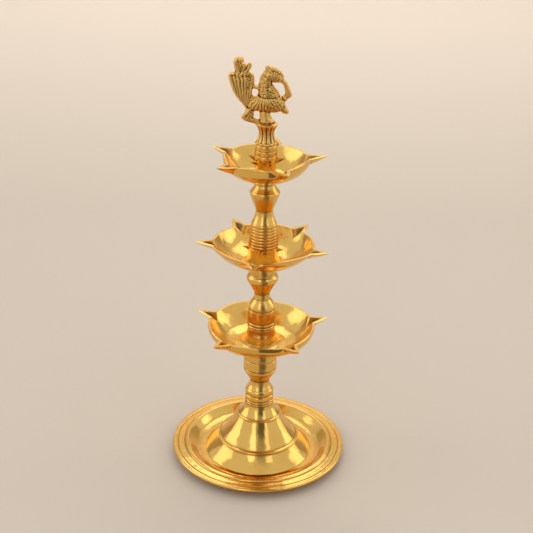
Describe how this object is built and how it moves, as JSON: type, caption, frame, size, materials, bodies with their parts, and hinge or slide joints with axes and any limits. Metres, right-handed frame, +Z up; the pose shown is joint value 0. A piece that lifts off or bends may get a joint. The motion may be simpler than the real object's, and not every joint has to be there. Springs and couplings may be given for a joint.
{
  "type": "standing oil lamp",
  "caption": "Three-tier standing oil lamp in brass: a dish base with a stepped bell, turned stem pieces, beaked oil bowls and a peacock finial.",
  "frame": {"origin": "centre of the base on the table", "axes": "+Z up along the stem, +X the way the peacock faces"},
  "size_m": [0.15, 0.15, 0.3503],
  "materials": {
    "polished_brass": "polished",
    "cast_brass": "sand cast, burnished",
    "stud_brass": "machined"
  },
  "bodies": {
    "base": {"base_dish": "polished_brass", "base_bell": "polished_brass"},
    "bell_stud": {"bell_stud": "stud_brass"},
    "baluster": {"baluster": "polished_brass"},
    "lower_bowl": {"lower_bowl": "polished_brass"},
    "lower_bowl_stud": {"lower_bowl_stud": "stud_brass"},
    "lower_stem": {"lower_stem": "polished_brass"},
    "middle_bowl": {"middle_bowl": "polished_brass"},
    "middle_bowl_stud": {"middle_bowl_stud": "stud_brass"},
    "upper_stem": {"upper_stem": "polished_brass"},
    "upper_bowl": {"upper_bowl": "polished_brass"},
    "top_spool": {"top_spool": "polished_brass"},
    "finial_stud": {"finial_stud": "stud_brass"},
    "peacock_finial": {"peacock_finial": "cast_brass"}
  },
  "joints": [
    {"name": "baluster_turn", "type": "hinge", "parent": "base", "child": "bell_stud", "pos_m": [0, 0, 0.058], "axis": [0, 0, 1], "range_deg": [0, 1800]},
    {"name": "baluster_lift", "type": "slide", "parent": "bell_stud", "child": "baluster", "axis": [0, 0, 1], "range_m": [0, 0.008]},
    {"name": "lower_bowl_turn", "type": "hinge", "parent": "baluster", "child": "lower_bowl", "pos_m": [0, 0, 0.1045], "axis": [0, 0, 1], "continuous": true},
    {"name": "lower_stem_turn", "type": "hinge", "parent": "baluster", "child": "lower_bowl_stud", "pos_m": [0, 0, 0.1045], "axis": [0, 0, 1], "range_deg": [0, 1800]},
    {"name": "lower_stem_lift", "type": "slide", "parent": "lower_bowl_stud", "child": "lower_stem", "axis": [0, 0, 1], "range_m": [0, 0.008]},
    {"name": "middle_bowl_turn", "type": "hinge", "parent": "lower_stem", "child": "middle_bowl", "pos_m": [0, 0, 0.1788], "axis": [0, 0, 1], "continuous": true},
    {"name": "upper_stem_turn", "type": "hinge", "parent": "lower_stem", "child": "middle_bowl_stud", "pos_m": [0, 0, 0.1788], "axis": [0, 0, 1], "range_deg": [0, 1800]},
    {"name": "upper_stem_lift", "type": "slide", "parent": "middle_bowl_stud", "child": "upper_stem", "axis": [0, 0, 1], "range_m": [0, 0.008]},
    {"name": "upper_bowl_turn", "type": "hinge", "parent": "upper_stem", "child": "upper_bowl", "pos_m": [0, 0, 0.2522], "axis": [0, 0, 1], "continuous": true},
    {"name": "top_spool_turn", "type": "hinge", "parent": "upper_bowl", "child": "top_spool", "pos_m": [0, 0, 0.2708], "axis": [0, 0, 1], "continuous": true},
    {"name": "finial_turn", "type": "hinge", "parent": "upper_stem", "child": "finial_stud", "pos_m": [0, 0, 0.2522], "axis": [0, 0, 1], "range_deg": [0, 1800]},
    {"name": "finial_lift", "type": "slide", "parent": "finial_stud", "child": "peacock_finial", "axis": [0, 0, 1], "range_m": [0, 0.008]}
  ],
  "couplings": [
    {"joint": "baluster_turn", "follows": "baluster_lift", "rad_per_m": 3927},
    {"joint": "lower_stem_turn", "follows": "lower_stem_lift", "rad_per_m": 3927},
    {"joint": "upper_stem_turn", "follows": "upper_stem_lift", "rad_per_m": 3927},
    {"joint": "finial_turn", "follows": "finial_lift", "rad_per_m": 3927}
  ]
}
